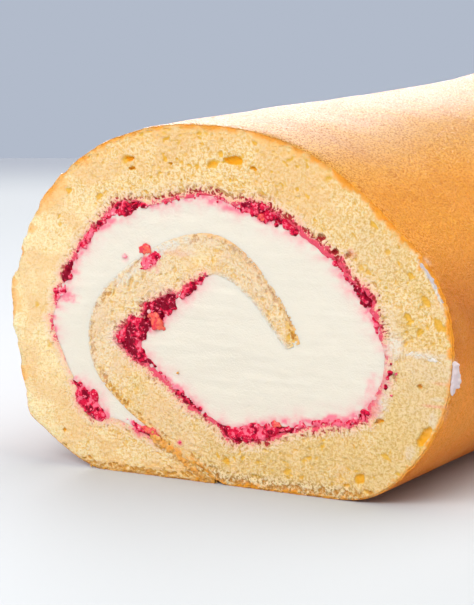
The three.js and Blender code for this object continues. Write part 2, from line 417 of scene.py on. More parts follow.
def jam_near(along):
    """Where in its space the jam begins, as a share: a thin layer lies against the cream."""
    return 0.8 * np.clip(1 - jam_share(along), 0, 1)


# Spots in the cut: [x, z, half width, half height, strength]. Jam juice has coloured some of them,
# at others bits of browned skin stick in the crumb or the golden skin reaches deeper into it.
JUICE = [
    (-18.9, 48.8, 2.8, 2.6, 1), (-20, 51.3, 1.9, 1.4, 0.5), (-25.5, 49.2, 1, 1, 0.7),
    (-41, 39, 4.4, 1.4, 1.1), (-39.5, 45, 3, 0.9, 0.8), (-16, 36.6, 2.6, 2.6, 0.6),
    (-11.3, 8.5, 0.9, 0.9, 1), (-20.5, 9.8, 4.2, 1.7, 0.7), (-34, 15.5, 5.4, 6.4, 0.28),
    (51, 23, 3, 0.5, 0.3), (52, 28, 2, 0.4, 0.2), (36.5, 23, 2.4, 5.5, 0.55), (27, 17.5, 3.4, 1.6, 0.5),
    (-12, 51, 6, 1, 0.15), (31, 54, 1.6, 1.4, 0.3),
]
BROWNED_BITS = [
    (-31, 41, 0.9, 1.1, 1), (-34.5, 32, 0.6, 1.6, 1), (-34.2, 28, 0.8, 1, 0.9),
    (-33.6, 24.5, 0.6, 1, 0.7), (-32, 22, 0.7, 0.9, 0.8), (-27.8, 18, 1.4, 0.8, 1),
    (-29.4, 19.6, 0.7, 0.6, 0.6), (-28.6, 43.6, 1.4, 0.5, 0.6), (2.5, 53.3, 1.6, 1, 0.8),
    (7.5, 50, 1, 2, 0.35), (11.6, 45.6, 0.8, 2.6, 0.35), (14.2, 41, 1, 1.2, 0.7),
    (13.4, 35.2, 0.9, 1.4, 0.5), (15.6, 33.4, 0.9, 0.8, 0.5), (-16, 7, 2.6, 0.9, 0.9),
    (-12, 4.6, 2.6, 0.8, 0.9), (-7.6, 2.4, 2.6, 0.8, 0.7), (-4, 0.8, 1.6, 0.7, 0.9),
    (-33, 1.2, 2, 0.9, 0.9), (-26.5, 1, 1.8, 0.8, 0.9), (-20.6, 0.7, 1.6, 0.6, 0.6),
    (-15, 0.6, 1.4, 0.6, 0.6),
]
GOLDEN_BITS = [
    (-55, 41, 1.2, 1.8, 0.8), (-53, 48.6, 1.2, 1.3, 0.8), (-49.8, 54, 1.6, 1.5, 0.7),
    (-36, 70, 2.4, 1.6, 0.8), (-56, 34.5, 1.2, 2.4, 0.8), (-21, 75.6, 1.6, 0.8, 0.5),
]

# Thin veils of cream over the cut: [along, depth, half length, half depth, strength].
VEILS = [
    (218.5, 1.3, 8, 0.7, 1), (362, 4, 18, 7, 0.4), (386, 4, 16, 7, 0.4), (380, 2.1, 7, 1.2, 0.75),
    (380, 0.3, 34, 0.8, 0.85), (392, 1.2, 12, 1.8, 0.95), (420, 3, 18, 6, 0.45),
    (256, 14.2, 6.5, 2.4, 0.7), (247, 7, 10, 10, 0.15), (239.5, 8, 6, 9, 0.3), (233, 14.2, 6, 2.6, 0.8),
    (330, 5, 14, 6, 0.15), (205, 8, 10, 6, 0.12), (140, 13.6, 16, 1.4, 0.15),
]


def spotted(spots, x, z):
    """How strongly the spots have coloured a place in the cut."""
    strongest = np.zeros(len(x))
    wandering = 0.25 * patches(x, z, 1.3, 54) + 0.2 * patches(x, z, 0.6, 55)
    for middle_x, middle_z, half_width, half_height, strength in spots:
        away = np.hypot((x - middle_x) / half_width, (z - middle_z) / half_height) + wandering
        strongest = np.maximum(strongest, strength * drop(away, 0.3, 1.1))
    return strongest


def places(piece):
    """The x, y and z of the piece's corners, in mm."""
    values = np.empty(len(piece.data.vertices) * 3, dtype=np.float32)
    piece.data.vertices.foreach_get("co", values)
    return values.reshape(-1, 3).T.astype(float) / MM


def move_to(piece, x, y, z):
    values = np.stack(np.broadcast_arrays(x, y, z), axis=1) * MM
    piece.data.vertices.foreach_set("co", values.astype(np.float32).ravel())
    piece.data.update()


def keep_values(piece, **fields):
    """Keeps named values on the mesh, one for each corner or one for all, for the finish."""
    for name, values in fields.items():
        kept = piece.data.attributes.get(name) or piece.data.attributes.new(name, "FLOAT", "POINT")
        kept.data.foreach_set("value", np.full(len(piece.data.vertices), values, dtype=np.float32))


def flat_grid(name, columns, rows):
    """A grid of faces, and how far along its columns and rows each corner lies, from 0 to 1."""
    bpy.ops.object.select_all(action="DESELECT")
    bpy.ops.mesh.primitive_grid_add(x_subdivisions=columns, y_subdivisions=rows, size=1)
    piece = bpy.context.object
    piece.name = name
    return piece, places(piece)[:2].T * MM + 0.5


def make_active(piece):
    bpy.ops.object.select_all(action="DESELECT")
    piece.select_set(True)
    bpy.context.view_layer.objects.active = piece


def edit(kind="FACE", action="SELECT"):
    """Opens the active mesh for editing, with all or none of its faces or edges selected."""
    bpy.ops.object.mode_set(mode="EDIT")
    bpy.ops.mesh.select_mode(type=kind)
    bpy.ops.mesh.select_all(action=action)


def edited():
    bpy.ops.object.mode_set(mode="OBJECT")


def finish_mesh(piece):
    make_active(piece)
    edit()
    bpy.ops.mesh.normals_make_consistent(inside=False)
    edited()
    bpy.ops.object.shade_smooth_by_angle(angle=math.radians(68))


def roll_up(piece):
    """Rolls the flat sheet up. Flat, X is the distance along it, Y its width, Z the depth under the
    skin; the same distances stay on the mesh for the finish."""
    along, y, depth = places(piece)
    skin, inwards, sponge, jam = strip_at(along)
    behind = y - FACE_Y
    left_flank = step(along, *FLANK_START) * drop(along, *FLANK_END)

    # The skin swells and dips, is scalloped where it was sliced and shrinks from the cuts.
    rise = rough(along, y, (0.45, 34, 11), (0.22, 13, 12))
    scalloped = rough(along, y, (0.25, 4.2, 13), (0.34, 1.7, 14))
    scalloped += 0.4 * left_flank * step(patches(along, y * 0.3, 5.2, 23), -0.06, 0.06)
    rise += scalloped * (0.25 + 0.75 * left_flank) * drop(behind, 1, 6)
    rise += by_distance(EDGE_RISE, along) * drop(behind, 3, 40)
    rise += 0.1 * patches(along, y, 0.9, 15) * drop(behind, 0.5, 3)
    rise -= 0.2 * (1 - step(LENGTH / 2 - np.abs(y), 0, 1.6) ** 0.5) * drop(depth, 0.5, 5)
    rise *= drop(along, SKIN_TURNS_IN - 20, SKIN_TURNS_IN) * drop(depth, 0, 3) * step(skin[:, 1], 0.5, 8)
    spot = skin + inwards * (depth - rise)[:, None]
    spot[:, 1] = np.maximum(spot[:, 1], 0)
    x, z = settled(spot[:, 0], y, spot[:, 1])
    move_to(piece, x, y, z)

    # Beyond both ends of the jam, and where it lies thin, the crumb counts as further from it.
    off_jam = np.where(along > JAM_END, (along - JAM_END) * 0.5, 0) + np.maximum(JAM_START - along, 0)
    off_jam += 0.7 * drop(jam_share(along), 0.08, 0.3)
    soaked_by = by_distance(SOAKED_BY, along) + 0.4 * patches(along, y, 2.6, 19)
    blotches = 2.3 * left_flank * step(patches(along, along * 0, 4.4, 16), 0.05, 0.5)
    reach = by_distance(RIM_REACH, along) * (1 + 0.7 * patches(along, along * 0, 2.1, 17)) + blotches
    flaked = 0.9 * left_flank * drop(behind + patches(along, y, 3, 25), 0.5, 3)
    near_cut = drop(behind, 0.4, 2.2)
    fading = 0.85 * step(depth - sponge, -2.4, -0.1) * step(along, JAM_END + 1, JAM_END + 8)
    veiled = np.maximum(spotted(VEILS, along, depth), fading)
    tone = by_distance(PALENESS, along) + 0.26 * patches(along, depth, 5, 18)
    keep_values(
        piece,
        skin_depth=depth,
        openness=by_distance(OPENNESS, along),
        jam_depth=np.maximum(sponge + jam * jam_near(along) - depth, 0) + off_jam - soaked_by,
        rim_reach=reach + 3 * spotted(GOLDEN_BITS, *spot.T),
        paleness=tone + rough(along, depth, (0.22, 2.3, 20), (0.12, 1.2, 24)),
        baked=drop(along, SKIN_TURNS_IN - 5, SKIN_TURNS_IN + 3) * (1 - flaked),
        film=np.maximum(smeared(*spot.T)[1], veiled) * near_cut,
        juice=spotted(JUICE, *spot.T) * near_cut,
        browned=spotted(BROWNED_BITS, *spot.T) * near_cut,
        base_grain=drop(depth, 1.6, 4.2) * step(along, *BASE_START) * drop(along, 314, 322),
    )


# The whole sheet with its skin: the baked face is fine, what lies hidden in the roll is coarse. Its
# cut ends are sunk under the crumb, apart from the rim of skin.
SKIN_COLUMN = 0.4
HIDDEN_COLUMNS = 54
RIM = [0, 0.35, 0.75]
SUNK = 2
SKIN_ROWS = 84
ROWS_CROWD = 0.82

columns = np.append(
    np.arange(0, SKIN_TURNS_IN, SKIN_COLUMN), np.linspace(SKIN_TURNS_IN, STRIP_LENGTH, HIDDEN_COLUMNS)
)
sponge_body, part = flat_grid("sponge_body", len(columns) - 1, 4)
column, row = np.rint(part * (len(columns) - 1, 4)).astype(int).T
along = columns[column]
thickness = strip_at(along)[2]
depth = np.choose(row, [0, RIM[1], RIM[2], RIM[2], thickness])
depth = np.minimum(depth, thickness * (0.5 + row * 0.1))
ragged = rough(along, depth, (0.16, 1.1, 21), (0.1, 0.5, 22))
y = FACE_Y + np.where((row >= 3) | (along > SKIN_TURNS_IN), SUNK, ragged + 0.12)
move_to(sponge_body, along, y, depth)

edit()
bpy.ops.mesh.extrude_region_move(TRANSFORM_OT_translate={"value": (0, LENGTH * MM, 0)})
edited()
along, y, depth = places(sponge_body)
y = np.where(y > 50, LENGTH - y, y)
move_to(sponge_body, along, y, depth)

# The long edges of the skin are split into rows, which crowd towards the cuts.
edit("EDGE", "DESELECT")
edited()
ends = np.empty(len(sponge_body.data.edges) * 2, dtype=np.int32)
sponge_body.data.edges.foreach_get("vertices", ends)
first, second = ends[::2], ends[1::2]
long_skin = (np.abs(y[first] - y[second]) > 100) & (np.maximum(depth[first], depth[second]) < 0.001)
long_skin &= along[first] < SKIN_TURNS_IN
sponge_body.data.edges.foreach_set("select", long_skin)
bpy.ops.object.mode_set(mode="EDIT")
bpy.ops.mesh.subdivide(number_cuts=SKIN_ROWS)
edited()
along, y, depth = places(sponge_body)
part = np.clip((y - FACE_Y) / LENGTH, 0, 1)
graded = part - ROWS_CROWD * np.sin(2 * np.pi * part) / (2 * np.pi)
between_ends = np.abs(y) < LENGTH / 2 - SUNK - 0.5
move_to(sponge_body, along, np.where(between_ends, FACE_Y + LENGTH * graded, y), depth)
roll_up(sponge_body)
keep_values(sponge_body, pit=0)
finish_mesh(sponge_body)


# The crumb at a cut, as relief on a slice as thick as the rim is sunk. Its gas holes are rows of
# [along, depth, half length, half height, tilt, how deep].
def scattered(rng, count, low, high, table, crowd=1):
    """Seeded distances along the strip, more of them where the table is high."""
    along = rng.uniform(low, high, count * 3)
    return along[rng.uniform(0, crowd, len(along)) < by_distance(table, along)][:count]


def hollowed(rng, along, depth, size, longest, turned, deep):
    """Seeded holes of the given sizes at their places."""
    stretch = rng.uniform(1, longest, len(along))
    tilt = rng.normal(0, turned, len(along))
    return np.stack([along, depth, size * stretch, size, tilt, deep * size], axis=1)


def pores(rng, count, small, large, deep):
    """Gas holes, more of them where the crumb is open."""
    along = scattered(rng, count, 0, STRIP_LENGTH, OPENNESS, 1.4)
    depth = rng.uniform(0.02, 0.99, len(along)) * strip_at(along)[2]
    size = small * (large / small) ** rng.power(0.6, len(along))
    return hollowed(rng, along, depth, size, 2.4, 0.4, deep)


def pores_beside_jam(rng, count):
    """The jam has soaked away the walls of the last cells that it touches."""
    along = scattered(rng, count, JAM_START, JAM_END, LACE)
    depth = strip_at(along)[2] - rng.exponential(0.8, len(along))
    size = rng.uniform(0.16, 0.36, len(along))
    return hollowed(rng, along, depth, size, 1.6, 1, 1.3)


def cracks_under_skin(rng, count):
    """Short gaps where the skin has come away from the crumb."""
    along = scattered(rng, count, 0, STRIP_LENGTH, CRACKED)
    depth = np.abs(rng.normal(1, 0.45, len(along))) + 0.15
    size = rng.uniform(0.16, 0.42, len(along))
    return hollowed(rng, along, depth, size, 2.4, 0.5, 1.3)


# Single large holes in the cut: [x, z, width, height, tilt in degrees, how deep].
HOLES = [
    (2.3, 72.4, 4.8, 2, -3, 0.9), (33.5, 5.2, 2.8, 2.4, 0, 0.55), (48.8, 16.2, 5.6, 2.4, 58, 0.62),
    (-24, 71.4, 2.2, 1, 0, 1), (24, 57.2, 1.8, 1.4, 0, 1), (-23.5, 69.3, 1.8, 0.8, -8, 0.9),
    (-13.5, 71, 1.3, 0.7, 0, 0.8), (7.2, 71, 1.7, 0.8, -10, 0.8), (30.3, 3.5, 1.5, 1, 0, 0.5),
    (38, 18.4, 2.6, 0.8, 15, 0.8), (27, 54.2, 1.8, 1.2, 20, 1), (30.3, 53.8, 1.4, 1.1, 0, 0.9),
    (47.3, 27, 1.1, 0.9, 0, 0.8), (41.6, 28.3, 0.8, 2, 10, 0.7), (-42, 8, 1, 1, 0, 0.6),
    (48.7, 45.1, 3, 1.5, -50, 0.4), (51.4, 40.6, 3.2, 1.8, -60, 0.4), (47.3, 38.7, 2.2, 1.2, 30, 0.35),
    (44.6, 41.4, 2.4, 1.3, -50, 0.4), (45, 50.4, 2.2, 1.2, -45, 0.35), (39.6, 55, 2, 1.1, -40, 0.35),
    (-24.2, 43.4, 3.4, 1.1, 66, 0.4), (-20.5, 45.3, 1.9, 0.9, 60, 0.4), (-12.5, 47.3, 1.5, 1.1, 0, 0.4),
    (-11.7, 44.9, 1, 0.8, 0, 0.4), (-28.4, 41, 2.2, 0.8, 72, 0.35), (-16.4, 46, 1.6, 0.7, 30, 0.35),
]
CUT_RIM = 0.45
JAM_OVERLAP = 0.5
TIP_OVERLAP = 0.9
EDGE_DIP = 0.2
SLICE_BACK = 0.8


def ellipse(u, v, tilt, long_half, half):
    """1 in the middle of a turned ellipse, 0 at its rim and below 0 past it."""
    a = (u * math.cos(tilt) + v * math.sin(tilt)) / long_half
    b = (v * math.cos(tilt) - u * math.sin(tilt)) / half
    return 1 - a * a - b * b


def crumb_slice(name, end, columns, rows, seed):
    """One cut end of the crumb; end is -1 at the front and 1 at the back."""
    rng = np.random.default_rng(seed)
    crumb, part = flat_grid(name, columns, rows)
    column, row = np.rint(part * (columns, rows)).astype(int).T
    along = column / columns * STRIP_LENGTH
    count = len(along)
    skin, inwards, thickness, jam = strip_at(along)
    top = np.minimum(np.where(along < SKIN_TURNS_IN, CUT_RIM, 0), thickness * 0.4)
    overlap = JAM_OVERLAP + jam * jam_near(along)
    overlap = np.where(along < JAM_START, TIP_OVERLAP, overlap) * (along < JAM_END)
    depth = top + (thickness + overlap - top) * row / rows
    spot = skin + inwards * depth[:, None]
    film = smeared(*spot.T)[0] * (1 if end < 0 else 0.4)
    open_crumb = by_distance(OPENNESS, along)

    def bumps(size, number):
        return patches(along, depth, size, seed + number)

    # Crumb walls wander, so the pores are drawn on bent coordinates.
    bent_along = along + 0.35 * bumps(1.3, 1) + 0.2 * bumps(0.6, 2)
    bent_depth = depth + 0.3 * bumps(1.2, 3) + 0.2 * bumps(0.6, 4)
    order = np.empty((columns + 1, rows + 1), dtype=int)
    order[column, row] = np.arange(count)
    width = STRIP_LENGTH / columns
    gas_holes = [
        pores(rng, 6000, 0.16, 0.32, 0.8),
        pores(rng, 420, 0.28, 0.55, 0.9),
        pores(rng, 40, 0.5, 0.9, 0.7),
        pores_beside_jam(rng, 1500),
    ]
    cracks = cracks_under_skin(rng, 420)
    hollow, cracked = np.zeros((2, count))
    for number, hole in enumerate(np.concatenate([cracks] + gas_holes)):
        middle, deep_in, long_half, half, tilt, deep = hole
        reach = long_half * 1.3 + 0.6
        from_column = max(int((middle - reach) / width), 0)
        near = order[from_column:int((middle + reach) / width) + 2].ravel()
        near = near[np.abs(depth[near] - deep_in) < reach]
        u, v = bent_along[near] - middle, bent_depth[near] - deep_in
        bowl = deep * np.sqrt(np.clip(ellipse(u, v, tilt, long_half, half), 0, 1))
        hollow[near] = np.maximum(hollow[near], bowl)
        if number < len(cracks):
            cracked[near] = np.maximum(cracked[near], bowl)
    hollow *= np.clip(0.3 + 0.75 * open_crumb, 0, 1.15) * (1 - film)
    for x, z, wide, high, tilt, deep in HOLES:
        u = spot[:, 0] - x + 0.25 * patches(*spot.T, 0.8, seed + 5)
        v = spot[:, 1] - z + 0.25 * patches(*spot.T, 0.7, seed + 6)
        within = ellipse(u, v, math.radians(tilt), wide / 2, high / 2)
        hollow = np.maximum(hollow, deep * np.clip(within * 2.4, 0, 1) ** 0.6)

    # Between the holes the crumb is lumpy. It lies lower under the jam, level beside the cream and
    # dips at the very edge, where the cream overlaps it.
    base_grain = drop(depth, 2.5, 4.5) * step(along, *BASE_START) * drop(along, 318, 330)
    lumps = 0.1 * bumps(2.6, 7) + 0.06 * bumps(1.1, 8)
    lumps += 0.06 * bumps(0.6, 9) + 0.05 * bumps(0.34, 10)
    lumps *= 0.2 + 0.6 * open_crumb + 0.9 * base_grain
    proud = lumps * (1 - 0.85 * film) - hollow + 0.15 * film + 0.1
    under_jam = step(depth - thickness - jam * jam_near(along), -0.3, 0.4)
    under_jam *= step(along, JAM_START, JAM_START + 1)
    proud -= 0.6 * under_jam * (along < JAM_END) * step(jam_share(along), 0.4, 0.75)
    from_inner_side = thickness - depth
    beside_cream = drop(depth, 0, 0.6) * step(along, SKIN_TURNS_IN + 12, SKIN_TURNS_IN + 22)
    past_jam = drop(from_inner_side, 0, 0.6) * step(along, JAM_END, JAM_END + 3)
    level = np.maximum(beside_cream, past_jam)
    proud = proud * (1 - level) + 0.06 * level
    dipped = drop(depth, 0, CUT_RIM) * (along > SKIN_TURNS_IN + 14)
    dipped = np.maximum(dipped, drop(from_inner_side, 0, CUT_RIM) * (along > JAM_END + 3))
    proud -= EDGE_DIP * dipped
    move_to(crumb, along, end * (-FACE_Y + proud), depth)
    keep_values(crumb, pit=np.clip(hollow, 0, 1))

    edit("EDGE")
    bpy.ops.mesh.region_to_loop()
    bpy.ops.mesh.extrude_edges_move(TRANSFORM_OT_translate={"value": (0, 0, 0)})
    edited()
    along, y, depth = places(crumb)
    y[count:] = end * (-FACE_Y - SUNK - SLICE_BACK)
    move_to(crumb, along, y, depth)
    bpy.ops.object.mode_set(mode="EDIT")
    bpy.ops.mesh.edge_face_add()
    edited()
    roll_up(crumb)
    browned = np.empty(len(y), dtype=np.float32)
    crumb.data.attributes["browned"].data.foreach_get("value", browned)
    browned[:count] = np.maximum(browned[:count], step(cracked, 0.05, 0.25))
    browned[count:] = 0
    keep_values(crumb, browned=browned)
    finish_mesh(crumb)
    return crumb


crumb_front = crumb_slice("crumb_front", -1, 1600, 56, 100)
crumb_back = crumb_slice("crumb_back", 1, 980, 33, 200)


# The finish of the sponge: pale yellow crumb, painted darker and more golden in the pores as painted
# shade, browned towards the skin, stained along the jam and veiled where cream was dragged over it.
def kept(tree, *names):
    """The values with these names that are kept on the mesh."""
    outputs = []
    for name in names:
        node = tree.nodes.new("ShaderNodeAttribute")
        node.attribute_name = name
        outputs.append(node.outputs["Fac"])
    return outputs


def maths(operation, first, second):
    node = first.id_data.nodes.new("ShaderNodeMath")
    node.operation = operation
    feed(node.inputs[0], first)
    feed(node.inputs[1], second)
    return node.outputs[0]


def times(first, second):
    return maths("MULTIPLY", first, second)


def plus(first, second):
    return maths("ADD", first, second)


def less(first, second):
    return maths("SUBTRACT", first, second)


UNEVEN_SIZES = ("Broad", "Medium", "Fine")
unevenness = bpy.data.node_groups.new("unevenness", "ShaderNodeTree")
given = unevenness.nodes.new("NodeGroupInput")
made = unevenness.nodes.new("NodeGroupOutput")
place = unevenness.nodes.new("ShaderNodeTexCoord")
for name in UNEVEN_SIZES:
    for socket_name, way in ((name + " size", "INPUT"), (name, "OUTPUT")):
        unevenness.interface.new_socket(socket_name, in_out=way, socket_type="NodeSocketFloat")
    scale = unevenness.nodes.new("ShaderNodeMath")
    scale.operation = "DIVIDE"
    scale.inputs[0].default_value = 1 / MM
    feed(scale.inputs[1], given.outputs[name + " size"])
    noise = unevenness.nodes.new("ShaderNodeTexNoise")
    noise.inputs["Detail"].default_value = 2
    noise.inputs["Roughness"].default_value = 0.55
    feed(noise.inputs["Vector"], place.outputs["Object"])
    feed(noise.inputs["Scale"], scale.outputs[0])
    feed(made.inputs[name], noise.outputs[0])


def uneven(tree, *sizes):
    """Three sizes of unevenness, in millimetres, as values about one half."""
    node = tree.nodes.new("ShaderNodeGroup")
    node.node_tree = unevenness
    for name, size in zip(UNEVEN_SIZES, sizes):
        node.inputs[name + " size"].default_value = size
    return [node.outputs[name] for name in UNEVEN_SIZES]


def raised(height, reach):
    node = height.id_data.nodes.new("ShaderNodeBump")
    node.inputs["Distance"].default_value = reach
    node.inputs["Strength"].default_value = 1
    feed(node.inputs["Height"], height)
    return node.outputs[0]


CRUMB_PALE = (0.89, 0.73, 0.46)
CRUMB_WARM = (0.80, 0.50, 0.145)
CRUMB_PEACH = (0.84, 0.55, 0.26)
CRUMB_BAKED = (0.92, 0.54, 0.18)
CREAMY_PALE = (0.97, 0.84, 0.55)
CREAMY_WARM = (0.90, 0.68, 0.33)
TAN_PALE = (0.82, 0.63, 0.325)
TAN_WARM = (0.68, 0.45, 0.145)
PORE_SHADE = (0.80, 0.47, 0.05)
DEEP_PORE_SHADE = (0.88, 0.40, 0.008)
LACE_PALE = (0.88, 0.70, 0.54)
LACE_HOLE_SHADE = (0.50, 0.25, 0.10)
BASE_PALE = (0.85, 0.70, 0.46)
BASE_OLIVE = (0.40, 0.24, 0.08)
BROWNED = (0.60, 0.28, 0.05)
SKIN_BROWN = (0.82, 0.31, 0.035)
# Skin colours by height: the lighter ones for the top, the shoulders and low on the side are painted light,
# the darker ones for the flanks and underneath are painted shade.
SKIN_TOP_PAINTED_LIGHT = (0.92, 0.54, 0.15)
SKIN_SHOULDER_PAINTED_LIGHT = (0.99, 0.52, 0.085)
SKIN_MIDDLE_PAINTED_SHADE = (0.80, 0.32, 0.012)
SKIN_LOW_PAINTED_SHADE = (0.61, 0.173, 0.003)
SKIN_SIDE_PAINTED_LIGHT = (1, 0.31, 0.013)
SKIN_UNDER_PAINTED_SHADE = (0.68, 0.14, 0.002)
SKIN_SPECK = (0.64, 0.20, 0.003)
RIM_GOLD = (0.96, 0.57, 0.22)
RIM_BROWN = (0.95, 0.46, 0.12)
RIM_AMBER = (0.90, 0.34, 0.02)
RIM_UNDER_PAINTED_SHADE = (0.62, 0.27, 0.05)
STAIN_FAINT = (0.94, 0.54, 0.42)
STAIN_RED = (0.80, 0.06, 0.14)
STAINED_PORE_SHADE = (0.42, 0.02, 0.025)
JUICE_PINK = (0.90, 0.14, 0.22)
CREAM_FILM = (0.80, 0.70, 0.60)
CREAM_THICK = (0.79, 0.75, 0.67)

sponge_finish, tree = new_finish("sponge_crumb_and_skin")
skin_depth, jam_depth, pit, film, rim_reach, juice, paleness, open_crumb, on_base, browned, baked = kept(
    tree, "skin_depth", "jam_depth", "pit", "film", "rim_reach", "juice", "paleness", "openness",
    "base_grain", "browned", "baked",
)
broad, medium, fine = uneven(tree, 9, 1.5, 0.42)
small, fleck = uneven(tree, 9, 0.8, 0.42)[1:]
grain = plus(times(small, 0.5), times(fine, 0.5))
grainy = times(less(grain, 0.495), ranged(open_crumb, 0.2, 0.8, 0.85, 1))
creamy = ranged(paleness, 0, 1)
tanned = ranged(paleness, 0, -1)
pale_walls = layered(CRUMB_PALE, (creamy, CREAMY_PALE), (tanned, TAN_PALE))
warm_walls = layered(CRUMB_WARM, (creamy, CREAMY_WARM), (tanned, TAN_WARM))
peachy = times(ranged(broad, 0.42, 0.62, 0, 0.6), ranged(tanned, 0, 0.7, 1, 0.25))
by_rim = times(ranged(skin_depth, 4.8, 1.6, 0, 0.65), ranged(rim_reach, 0.2, 0.7))
by_rim = times(times(by_rim, ranged(medium, 0.42, 0.6, 0.1, 1)), ranged(paleness, -0.2, 0))
base_colour = layered(BASE_OLIVE, (ranged(grain, 0.45, 0.51), BASE_PALE))

# The jam's juice has soaked about two millimetres into the crumb, furthest along its cell walls.
soaked = plus(plus(jam_depth, times(medium, -2.6)), times(fine, -2.6))
faint = ranged(soaked, -1.1, -2.5, 0, 0.85)
# Brown in the deeper lace holes beside the jam is painted shade.
shaded_lace = times(ranged(jam_depth, 2.4, 1.2), ranged(pit, 0.1, 0.3, 0, 0.8))
pale_lace = times(ranged(jam_depth, 3, 1.3, 0, 0.75), ranged(grain, 0.44, 0.54, 0.2, 1))
crumb = layered(
    warm_walls,
    (ranged(grainy, -0.1, 0.085), pale_walls),
    (peachy, CRUMB_PEACH),
    (by_rim, CRUMB_BAKED),
    # Pores and holes are painted darker and more golden the deeper they are: painted shade.
    (ranged(pit, 0.04, 0.32, 0, 0.9), PORE_SHADE),
    (times(on_base, 0.8), base_colour),
    (ranged(pit, 0.32, 0.7), DEEP_PORE_SHADE),
    (pale_lace, LACE_PALE),
    (shaded_lace, LACE_HOLE_SHADE),
    (faint, STAIN_FAINT),
    (ranged(soaked, -2.3, -2.9, 0, 0.95), STAIN_RED),
    # Dark red in stained pores is the jam's juice with painted shade over it.
    (times(ranged(faint, 0.1, 0.5), ranged(pit, 0.1, 0.3)), STAINED_PORE_SHADE),
)

# By height the skin is painted with light and shade: palest on top, golden at its shoulders and
# redder low on the side as painted light, browner down the flanks and darkest underneath as painted
# shade. Its own colour adds fine dark specks and broad browner patches. In the cut it shows as a soft
# broken band.
up = object_place(tree)["Z"]
wavering = plus(up, times(less(broad, 0.5), 0.016))
skin = layered(
    SKIN_TOP_PAINTED_LIGHT,
    (ranged(wavering, 0.0795, 0.0735), SKIN_SHOULDER_PAINTED_LIGHT),
    (ranged(wavering, 0.0745, 0.063), SKIN_MIDDLE_PAINTED_SHADE),
    (ranged(up, 0.06, 0.044), SKIN_LOW_PAINTED_SHADE),
    (ranged(up, 0.042, 0.022), SKIN_SIDE_PAINTED_LIGHT),
    (ranged(up, 0.018, 0.001), SKIN_UNDER_PAINTED_SHADE),
    (ranged(broad, 0.4, 0.66, 0, 0.35), SKIN_BROWN),
    (times(ranged(fleck, 0.54, 0.38, 0, 0.7), ranged(up, 0.045, 0.077, 0.6, 2)), SKIN_SPECK),
)
rim = layered(
    RIM_BROWN,
    (ranged(medium, 0.42, 0.58), RIM_GOLD),
    # Its lowest few millimetres, beside the table, are painted darker: painted shade.
    (ranged(up, 0.004, 0.001, 0, 0.8), RIM_UNDER_PAINTED_SHADE),
    (ranged(paleness, 0.1, -0.3, 0, 0.8), RIM_AMBER),
    (times(ranged(skin_depth, 1.5, 0.5, 0, 0.75), ranged(rim_reach, 0.3, 0.9)), RIM_AMBER),
    (ranged(paleness, 0.35, 0.8, 0, 0.25), CREAMY_PALE),
)
rim_edge = plus(plus(less(skin_depth, rim_reach), times(medium, -3)), times(fine, -1.4))
film = times(film, ranged(grain, 0.42, 0.54, 0.75, 1.1))
sponge_colour = layered(
    crumb,
    (ranged(rim_edge, -1.3, -2.7), rim),
    (times(browned, ranged(grain, 0.6, 0.42, 0.4, 1.1)), BROWNED),
    (times(ranged(skin_depth, 0.02, 0.16, 1, 0), baked), skin),
    (film, layered(CREAM_FILM, (ranged(film, 0.5, 0.9), CREAM_THICK))),
    (juice, JUICE_PINK),
)
pricked = ranged(fleck, 0.46, 0.36)
skin_roughness = plus(ranged(up, 0.072, 0.03, 0.38, 0.58), times(pricked, 0.25))
roughened = times(less(fine, 0.5), 1.3)
dimpled = times(less(medium, 0.5), 1.7)
less_inside = times(ranged(skin_depth, 0.05, 0.3, 1, 0), ranged(up, 0.066, 0.077, 0.8, 2.2))
height = times(less(plus(roughened, dimpled), times(pricked, 0.45)), maths("MAXIMUM", less_inside, 0.28))
shade(tree, {
    "Base Color": sponge_colour,
    "Roughness": maths("MAXIMUM", skin_roughness, ranged(skin_depth, 0.05, 0.3, 0, 0.8)),
    "Normal": raised(height, 0.0006),
    "Specular IOR Level": 0.34,
    "Subsurface Weight": 0.35,
    "Subsurface Radius": (1, 0.6, 0.3),
    "Subsurface Scale": 0.0015,
})

for piece in (sponge_body, crumb_front, crumb_back):
    piece.data.materials.append(sponge_finish)
    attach(piece, "root")
    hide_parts("sponge")


# --- Jam ---------------------------------------------------
# Raspberry jam with crushed berries, spread on the sponge before rolling. It runs the whole length as
# a thin uneven layer, and at the cuts its wet lumps of fruit stand a little proud.
JAM_SUNK = 1
LUMP_STEP = 0.25
LUMP_DENSITY = 3.6
LUMP_SIZE = 0.48
LUMP_LAYER = 2.2
LUMPS_PROUD = 0.2
WIPED_SIZE = 0.1
WIPED_X, WIPED_Z = 39.6, 35

jam_spread = bpy.data.objects.new("jam_spread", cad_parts["jam"].data.copy())
bpy.context.collection.objects.link(jam_spread)
make_active(jam_spread)
edit()
bpy.ops.mesh.remove_doubles(threshold=0.00001)
edited()
x, y, z = places(jam_spread)
move_to(jam_spread, x, y - np.where(np.abs(y) > LENGTH / 2 - 0.1, np.sign(y) * JAM_SUNK, 0), z)


def heaped(name, middles, sizes, turns):
    """One mesh of many rounded lumps, each given by its middle, half sizes and turn."""
    bpy.ops.object.select_all(action="DESELECT")
    bpy.ops.mesh.primitive_ico_sphere_add(subdivisions=2, radius=1)
    lump = bpy.context.object
    shape = places(lump).T * MM
    corners = np.array([face.vertices for face in lump.data.polygons])
    cos, sin = np.cos(turns), np.sin(turns)
    x, y, z = np.moveaxis(shape[None] * sizes[:, None], 2, 0)
    points = np.stack([x * cos - z * sin, y, x * sin + z * cos], axis=2) + middles[:, None]
    faces = corners[None] + (np.arange(len(middles)) * len(shape))[:, None, None]
    heap = bpy.data.meshes.new(name)
    heap.from_pydata((points.reshape(-1, 3) * MM).tolist(), [], faces.reshape(-1, 3).tolist())
    lump.data = heap
    lump.name = name
    return lump


